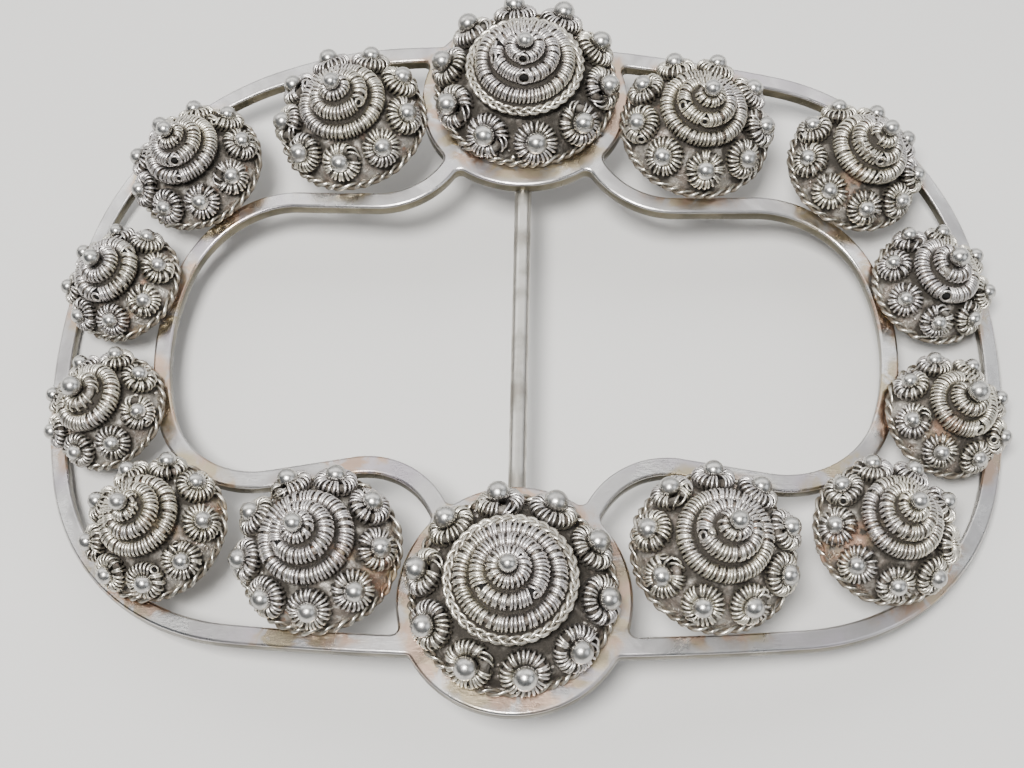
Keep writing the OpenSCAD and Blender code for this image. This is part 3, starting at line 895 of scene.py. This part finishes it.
def dome(kind, first, rng):
    """The dented sheet under the wire: an arched underside, a shoulder and a crown, darkened with dirt and
    painted shade by the rosettes and the tower's foot.
    """
    seat, plate_edge, shoulder, crown = button_base(kind)
    low = math.asin(max(0.0, -crown[1] / shoulder))
    rows = [(r, -ROPE_R) for r in np.linspace(0.0, plate_edge, 8)] + [(plate_edge, 0.0)]
    rows += [(crown[0] + shoulder * math.cos(a), crown[1] + shoulder * math.sin(a))
             for a in np.linspace(low, math.pi / 2, 22)]
    verts, faces, _ = lathe(rows, columns=112)
    flat = np.hypot(verts[:, 0], verts[:, 1])
    upper = verts[:, 2] > DENTS_FROM
    verts[upper, 2] += DENT * rng.standard_normal(upper.sum())
    under = verts[:, 2] < 0
    arch_top = np.sqrt((ARCH_R + SEAT_GAP) ** 2 - verts[:, 0] ** 2) - ARCH_R
    verts[under, 2] = np.maximum(verts[:, 2], arch_top)[under]
    pitch = math.tau / kind["count"]
    angle = np.arctan2(verts[:, 1], verts[:, 0]) - math.radians(first)
    angle = (angle + pitch / 2) % pitch - pitch / 2
    from_rosette = np.hypot(flat * np.cos(angle) - seat[0], flat * np.sin(angle))
    by_rosette = ROSETTE_DIRT_AND_SHADE - ROSETTE_FADE * from_rosette / (kind["coil"][0] + kind["coil"][1])
    by_tower = 1.0 - TOWER_FADE * (flat - kind["tower"][0][0])
    # dirt and painted shade, darkest by each rosette and the tower's foot; painted shade on the underside
    recess = np.maximum(np.clip(by_rosette, kind["dirt_and_shade"], 1.0), np.clip(by_tower, 0, TOWER_DIRT_AND_SHADE))
    recess[under] = UNDERSIDE_RECESS
    return verts, faces, recess


def grains(kind, first, rng):
    """Grains of solder on the dome, between the rosettes and along the rope."""
    seat, plate_edge, shoulder, crown = button_base(kind)
    pitch = math.tau / kind["count"]
    for _ in range(GRAINS):
        r = rng.uniform(seat[0] - GRAIN_INSETS[0], plate_edge - GRAIN_INSETS[1])
        between = rng.integers(kind["count"]) + 0.5 + rng.normal(0, GRAIN_SPREAD)
        angle = math.radians(first) + pitch * between
        size = rng.uniform(*GRAIN_SIZES)
        verts, faces, recess = ball(size, rng.uniform(*GRAIN_SQUASH), columns=8, rows=5)
        height = crown[1] + math.sqrt(shoulder ** 2 - np.clip(r - crown[0], 0, shoulder) ** 2)
        spot = (r * math.cos(angle), r * math.sin(angle), height + GRAIN_RISE * size)
        # each grain's underside gets half a ball's painted shade
        yield (verts + spot, faces, 0.5 * recess), DOME


def tower_profile(kind):
    """The stepped drum in the tower, a little inside and below the middle of each ring, dark all over as
    painted shade.
    """
    _, _, shoulder, crown = button_base(kind)
    rings = kind["plaits"] + kind["tower"]
    rows = [(rings[0][0] - 0.05, crown[1] + shoulder - 0.4)]
    rows += [(max(0.2, ring[0] - DRUM_INSET * ring[1]), ring[2] - DRUM_DROP * ring[1]) for ring in rings]
    rows += [(max(0.15, rings[-1][0] - rings[-1][1]), rings[-1][2] + 0.15), (0.02, kind["top_z"])]
    return rows


def leaned(part, about, low, high):
    """A part of the tower pushed over, and squeezed, the more the higher it stands."""
    verts, faces, recess = part
    verts = verts.copy()
    share = np.clip((verts[:, 2] - low) / (high - low), 0, LEAN_LIMIT)
    if "crush" in about:
        angle, squeeze = math.radians(about["crush"][0]), about["crush"][1]
        way = np.array([math.cos(angle), math.sin(angle)])
        along = verts[:, :2] @ way
        verts[:, :2] -= (squeeze * share * along)[:, None] * way
        verts[:, 2] -= CRUSH_DROP * squeeze * share * np.maximum(along, 0)
    verts[:, :2] += share[:, None] * np.asarray(about["lean"])
    return verts, faces, recess


def tower_ring(index, ring, wire, about, rng):
    """One wound ring of the tower, in one piece or in stretches between its gaps, and a dark ring inside it
    as painted shade.
    """
    radius, tube, z, turns = ring
    turns = about.get("loose_turns", {}).get(index, turns)

    def found(what):
        return [(math.radians(a), math.radians(w)) for i, a, w in sorted(about.get(what, ())) if i == index]

    gaps = found("gaps")
    if gaps:
        after = gaps[1:] + [(gaps[0][0] + math.tau, gaps[0][1])]
        ways = [(a + w / 2, b - v / 2) for (a, w), (b, v) in zip(gaps, after)]
    else:
        start = rng.uniform(0, math.tau)
        ways = [(start, start + math.tau)]
    for start, end in ways:
        span = end - start
        count = max(2, round(turns * span / math.tau))
        yield wound(radius, tube, wire, count, z, start, span, TOWER_PAINTED_SHADE, rng, found("eyes")), WIRE
    # the dark ring inside the coil, painted shade for its hollow
    yield ring_arc(radius, tube - INSIDE_DEPTH * wire, z, 0, math.tau, TOWER_INSIDE), DOME
    for angle, width in found("eyes"):
        yield from eye(radius, tube, wire, z, angle, width)
    for angle, width in found("melts"):
        yield ring_arc(radius, tube - MELT_DEPTH * wire, z, angle - width / 2, width, MELT_RECESS), ROPE


def rosette(kind, rng, with_ball):
    """A coiled ring whose ends don't quite meet, and its ball, standing on their own axis."""
    radius, tube, turns = kind["coil"]
    wire = kind["wires"][1]
    start = math.pi + rng.normal(0, ENDS_SPREAD)
    sprung = rng.random() < kind["sprung"]
    span = math.tau - (SPRUNG_GAP if sprung else math.radians(rng.uniform(*CLOSED_GAP)))
    tip = SPRUNG_TIP if sprung else 0.0
    eyes = [(rng.uniform(0, math.tau), ROSETTE_EYE)] if rng.random() < EYE_SHARE else []
    yield wound(radius, tube, wire, turns, tube, start, span, ROSETTE_PAINTED_SHADE, rng, eyes, tip), WIRE
    # a dark ring inside the coil, painted shade for its hollow
    yield ring_arc(radius, tube - INSIDE_DEPTH * wire, tube, start, span, ROSETTE_INSIDE), DOME
    for angle, width in eyes:
        yield from eye(radius, tube, wire, tube, angle, width)
    if with_ball:
        verts, faces, recess = ball(kind["ball_r"] * rng.uniform(*BALL_SIZES), rng.uniform(*BALL_SQUASH))
        place = (*rng.normal(0, BALL_SLIP, 2), tube + kind["ball_rise"] + rng.normal(0, BALL_LIFT))
        yield (verts + place, faces, recess), BALL


def loose_loop(x, y, z, bearing_degrees, wire, rng, steps=24):
    """A turn of wire that has come out of its ring, facing its bearing. It is open near its top."""
    angle = math.radians(bearing_degrees)
    side = np.array([-math.sin(angle), math.cos(angle), 0])
    rise = unit(np.array([[math.cos(angle), math.sin(angle), rng.uniform(*LOOP_RISES)]]))[0]
    half = math.radians(rng.uniform(*LOOP_HALVES))
    t = rng.uniform(-LOOP_OPENING, LOOP_OPENING) - math.pi / 2 + np.linspace(-half, half, steps)
    size = rng.uniform(*LOOP_SIZES)
    away = size * (np.cos(t)[:, None] * side + np.sin(t)[:, None] * rise)
    return swept(away + (x, y, z), away, wire, sides=6, share=0.5)


def tower(kind, about, rng):
    """The drum, the plait and the wound rings above the dome, upright and whole."""
    # the drum, all of it recess, so black painted shade inside the tower
    yield lathe(tower_profile(kind), columns=48), DOME
    for plait in kind["plaits"]:
        yield from plaited(*plait)
    for index, ring in enumerate(kind["tower"]):
        yield from tower_ring(index, ring, kind["wires"][0], about, rng)


def make_button(name, about, materials, rng):
    """One filigree button as a single piece that stands for its node."""
    kind = KINDS[about["kind"]]
    seat, plate_edge, shoulder, crown = button_base(kind)
    pile = Pile()
    pile.add(dome(kind, about["turn"], rng), DOME)
    for part, slot in (*twisted(plate_edge, rng), *grains(kind, about["turn"], rng)):
        pile.add(part, slot)

    low, high = crown[1] + shoulder, kind["top_z"]
    for part, slot in tower(kind, about, rng):
        pile.add(leaned(part, about, low, high), slot)
    top_r = about.get("top_r", kind["top_r"])
    top_ball = ball(top_r, rng.uniform(*TOP_BALL_SQUASH), columns=24, rows=16)
    pile.add(top_ball, BALL, move=(*about["lean"], high))
    for loop in about.get("loops", ()):
        pile.add(loose_loop(*loop, kind["wires"][1], rng), WIRE)
    for *spot, size in about.get("drops", ()):
        pile.add(ball(size, DROP_SQUASH, columns=14, rows=10), ROPE, move=spot)

    for i in range(kind["count"]):
        turn = turn_z(math.radians(about["turn"] + 360 / kind["count"] * i))
        foot = turn @ np.array([seat[0], 0, seat[1]])
        lean = turn @ turn_y(ROSETTE_TILT + rng.normal(0, LEAN_SPREAD))
        for part, slot in rosette(kind, rng, i != about.get("lost_ball")):
            pile.add(part, slot, lean, foot)

    x, y = about["at"]
    tilt = math.asin(x / ARCH_R)
    place = CREST + np.array([x, y, ARCH_R * (math.cos(tilt) - 1)])
    piece = pile.build("filigree_" + name, materials, turn_y(tilt), place, about.get("stains", ()))
    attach(piece, "root")
    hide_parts(name)


def rounded_edge():
    """Rows of inset and depth down the side of a strip, with rounded corners."""
    quarter = np.linspace(0, math.pi / 2, 4)
    top = [(TOP_ROUND * (1 - math.sin(a)), TOP_ROUND * (1 - math.cos(a))) for a in quarter]
    low = [(BOTTOM_ROUND * (1 - math.cos(a)), FRAME_T - BOTTOM_ROUND * (1 - math.sin(a))) for a in quarter]
    return top + low


def frame_face(edges, depth):
    """The face between the edges at a depth under the top, fine enough in the plates to follow the arch."""
    steps = np.arange(-PLATE_R, PLATE_R, FACE_STEP)
    disc = np.array([(x, y) for x in steps for y in steps if math.hypot(x, y) < PLATE_R - 2 * TOP_ROUND])
    points = np.vstack(edges + [disc + (0, TOP_PLATE_Y), disc - (0, BOTTOM_PLATE_Y)])
    links, first = [], 0
    for edge in edges:
        links += [(first + i, first + (i + 1) % len(edge)) for i in range(len(edge))]
        first += len(edge)
    vectors = [mathutils.Vector(p) for p in points]
    found, _, triangles, *_ = mathutils.geometry.delaunay_2d_cdt(vectors, links, [], 0, SAME_POINT)
    found = np.array([tuple(v) for v in found])
    triangles = np.array([t for t in triangles if len(t) == 3])
    triangles = triangles[inside(found[triangles].mean(axis=1), edges)]
    return on_arch(found, depth), triangles


def make_frame(material):
    """The strips and plates as one mesh: rounded walls along every edge, and a face above and below."""
    loops = frame_loops()
    profile = rounded_edge()
    pile = Pile()
    for loop in loops:
        rows = [on_arch(loop[:, :2] - inset * loop[:, 2:], depth) for inset, depth in profile]
        walls = grid_faces(len(profile), len(loop))
        pile.add((np.vstack(rows), [walls], np.zeros(len(loop) * len(profile))), 0)
    for (inset, depth), winding in ((profile[0], 1), (profile[-1], -1)):
        verts, triangles = frame_face([loop[:, :2] - inset * loop[:, 2:] for loop in loops], depth)
        pile.add((verts, [triangles[:, ::winding]], np.zeros(len(verts))), 0)
    feet = [(*about["at"], KINDS[about["kind"]]["edge_r"] + FOOT_STAIN) for about in BUTTONS.values()]
    spots = [(x, y + CREST[1], reach) for x, y, reach in SOLDER_STAINS + feet]
    piece = pile.build("strip_frame", [material], stains=spots)
    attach(piece, "root")
    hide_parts("frame")


def dress_bar(material):
    """Gives the part's own bar its material."""
    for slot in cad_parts["bar"].material_slots:
        slot.link = "OBJECT"
        slot.material = material


def make_camera():
    """The photograph's view: steeply from above, over the lower edge."""
    forward = mathutils.Vector(CAMERA_FORWARD).normalized()
    right = mathutils.Vector(CAMERA_RIGHT)
    right = (right - forward * right.dot(forward)).normalized()
    up = right.cross(forward)
    data = bpy.data.cameras.new("camera")
    data.sensor_width = SENSOR_WIDTH
    data.lens = FOCAL_PIXELS * SENSOR_WIDTH / PHOTO_WIDTH
    data.clip_start = MM
    camera = bpy.data.objects.new("camera", data)
    turn = mathutils.Matrix((right, up, -forward)).transposed()
    camera.matrix_world = mathutils.Matrix.Translation(mathutils.Vector(CAMERA_AT) * MM) @ turn.to_4x4()
    bpy.context.scene.collection.objects.link(camera)
    bpy.context.scene.camera = camera


def area_light(name, at, size, power, colour):
    """A soft light, placed in millimetres and turned to the buckle; size is its width and depth."""
    data = bpy.data.lights.new(name, "AREA")
    data.shape = "RECTANGLE"
    data.size = size[0] * MM
    data.size_y = size[1] * MM
    data.energy = power
    data.color = colour
    light = bpy.data.objects.new(name, data)
    light.location = mathutils.Vector(at) * MM
    light.rotation_euler = (-light.location).to_track_quat("-Z", "Y").to_euler()
    light.visible_camera = False
    bpy.context.scene.collection.objects.link(light)


def make_studio():
    """Weak daylight, the lights, the low card that the strips' far edges mirror, and a pale floor."""
    world = bpy.data.worlds.new("studio")
    world.use_nodes = True
    background = world.node_tree.nodes["Background"]
    background.inputs["Color"].default_value = DAYLIGHT
    background.inputs["Strength"].default_value = DAYLIGHT_STRENGTH
    bpy.context.scene.world = world
    for light in LIGHTS:
        area_light(*light)
    corners = [(x * FLOOR_HALF, y * FLOOR_HALF, 0) for x, y in ((-1, -1), (1, -1), (1, 1), (-1, 1))]
    mesh = bpy.data.meshes.new("floor")
    mesh.from_pydata(corners, [], [(0, 1, 2, 3)])
    mesh.materials.append(floor_paper())
    floor = bpy.data.objects.new("floor", mesh)
    bpy.context.scene.collection.objects.link(floor)


make_camera()
make_studio()
make_frame(frame_silver())
button_materials = [dome_silver(), wire_silver(), ball_silver(), rope_silver()]
for seed, (name, about) in enumerate(BUTTONS.items()):
    make_button(name, about, button_materials, np.random.default_rng(seed + 1))
dress_bar(bar_silver())
